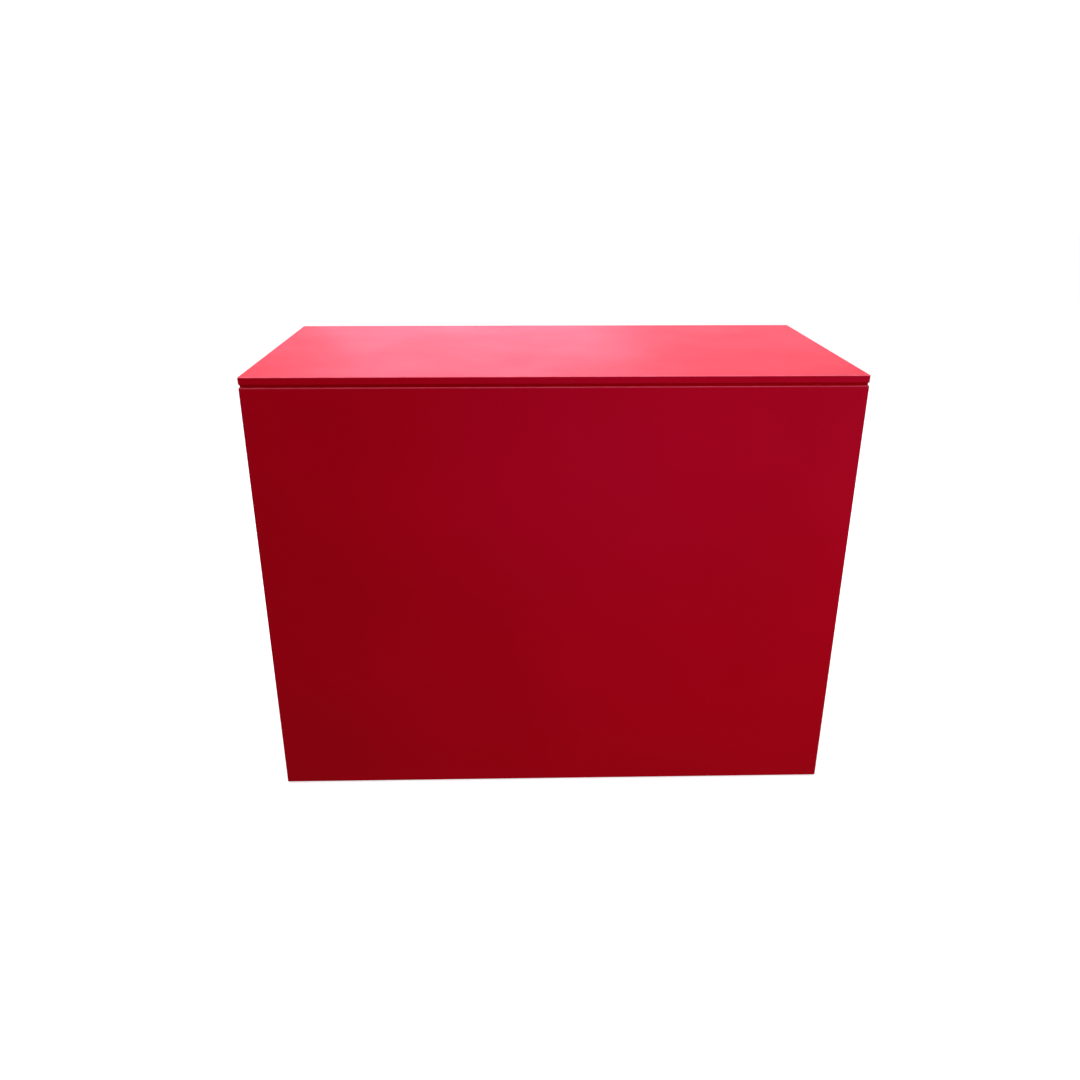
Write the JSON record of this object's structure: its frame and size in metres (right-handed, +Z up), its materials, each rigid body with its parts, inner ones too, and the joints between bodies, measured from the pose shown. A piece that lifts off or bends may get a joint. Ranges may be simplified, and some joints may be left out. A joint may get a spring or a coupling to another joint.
{
  "type": "service counter",
  "caption": "Free-standing red lacquered counter with a slab top over a shadow gap, a plain front and ends, and lockable doors to shelved bays at the back.",
  "frame": {"origin": "on the floor, under the centre of the slab top", "axes": "+X along the front to the right as the public sees it, +Y from the public front to the working side at the back, +Z up"},
  "size_m": [1.4, 0.68, 1.08],
  "materials": {
    "red_lacquered_board": "satin red lacquer on fibreboard",
    "white_melamine_board": "matt melamine face on chipboard",
    "bare_timber": "planed, unfinished",
    "brushed_steel_bar": "brushed",
    "zinc_plated_steel": "bright zinc plate",
    "nickel_plate": "satin nickel plate",
    "black_plastic": "moulded, fine texture",
    "white_plastic": "moulded",
    "brass": "stamped, worn bright"
  },
  "bodies": {
    "carcass": {"base_board": "white_melamine_board", "carcass_screws": "zinc_plated_steel", "centre_divider": "white_melamine_board", "corner_battens": "bare_timber", "counter_top": "red_lacquered_board", "dowels": "bare_timber", "frame_hinge_leaves": "brushed_steel_bar", "frame_screws": "zinc_plated_steel", "front_panel": "red_lacquered_board", "front_rail": "white_melamine_board", "hinge_pins": "brushed_steel_bar", "kick_board": "red_lacquered_board", "left_end_panel": "red_lacquered_board", "left_lower_shelf": "white_melamine_board", "left_upper_shelf": "white_melamine_board", "leg_screws": "zinc_plated_steel", "leg_sockets": "black_plastic", "lock_keeps": "zinc_plated_steel", "magnetic_catches": "white_plastic", "rear_rail": "white_melamine_board", "right_end_panel": "red_lacquered_board", "right_lower_shelf": "white_melamine_board", "right_upper_shelf": "white_melamine_board", "shelf_pins": "zinc_plated_steel", "spacer_front": "red_lacquered_board", "spacer_left": "red_lacquered_board", "spacer_rear": "red_lacquered_board", "spacer_right": "red_lacquered_board", "top_cleats": "bare_timber", "top_screws": "zinc_plated_steel"},
    "left_door": {"left_door": "red_lacquered_board", "left_door_hinge_leaves": "brushed_steel_bar", "left_door_screws": "zinc_plated_steel", "left_pull": "brushed_steel_bar", "left_pull_screws": "zinc_plated_steel", "left_catch_strike": "zinc_plated_steel", "left_lock_housing": "nickel_plate", "left_lock_nut": "zinc_plated_steel"},
    "right_door": {"right_door": "red_lacquered_board", "right_door_hinge_leaves": "brushed_steel_bar", "right_door_screws": "zinc_plated_steel", "right_pull": "brushed_steel_bar", "right_pull_screws": "zinc_plated_steel", "right_catch_strike": "zinc_plated_steel", "right_lock_housing": "nickel_plate", "right_lock_nut": "zinc_plated_steel"},
    "left_lock": {"left_lock_plug": "nickel_plate", "left_lock_cam": "zinc_plated_steel", "left_cam_screw": "zinc_plated_steel"},
    "right_lock": {"right_lock_plug": "nickel_plate", "right_lock_cam": "zinc_plated_steel", "right_cam_screw": "zinc_plated_steel", "key": "brass"},
    "foot_front_left": {"foot_front_left": "black_plastic"},
    "foot_front_middle": {"foot_front_middle": "black_plastic"},
    "foot_front_right": {"foot_front_right": "black_plastic"},
    "foot_rear_left": {"foot_rear_left": "black_plastic"},
    "foot_rear_middle": {"foot_rear_middle": "black_plastic"},
    "foot_rear_right": {"foot_rear_right": "black_plastic"}
  },
  "joints": [
    {"name": "left_door_hinge", "type": "hinge", "parent": "carcass", "child": "left_door", "pos_m": [-0.6805, 0.3032, 0.5675], "axis": [0, 0, 1], "range_deg": [0, 170]},
    {"name": "left_lock_turn", "type": "hinge", "parent": "left_door", "child": "left_lock", "pos_m": [-0.0365, 0.3, 0.932], "axis": [0, -1, 0], "range_deg": [0, 90]},
    {"name": "right_door_hinge", "type": "hinge", "parent": "carcass", "child": "right_door", "pos_m": [0.6805, 0.3032, 0.5675], "axis": [0, 0, -1], "range_deg": [0, 170]},
    {"name": "right_lock_turn", "type": "hinge", "parent": "right_door", "child": "right_lock", "pos_m": [0.0365, 0.3, 0.932], "axis": [0, 1, 0], "range_deg": [0, 90]},
    {"name": "foot_front_left_level", "type": "slide", "parent": "carcass", "child": "foot_front_left", "axis": [0, 0, -1], "range_m": [-0.01, 0.012]},
    {"name": "foot_front_middle_level", "type": "slide", "parent": "carcass", "child": "foot_front_middle", "axis": [0, 0, -1], "range_m": [-0.01, 0.012]},
    {"name": "foot_front_right_level", "type": "slide", "parent": "carcass", "child": "foot_front_right", "axis": [0, 0, -1], "range_m": [-0.01, 0.012]},
    {"name": "foot_rear_left_level", "type": "slide", "parent": "carcass", "child": "foot_rear_left", "axis": [0, 0, -1], "range_m": [-0.01, 0.012]},
    {"name": "foot_rear_middle_level", "type": "slide", "parent": "carcass", "child": "foot_rear_middle", "axis": [0, 0, -1], "range_m": [-0.01, 0.012]},
    {"name": "foot_rear_right_level", "type": "slide", "parent": "carcass", "child": "foot_rear_right", "axis": [0, 0, -1], "range_m": [-0.01, 0.012]}
  ]
}
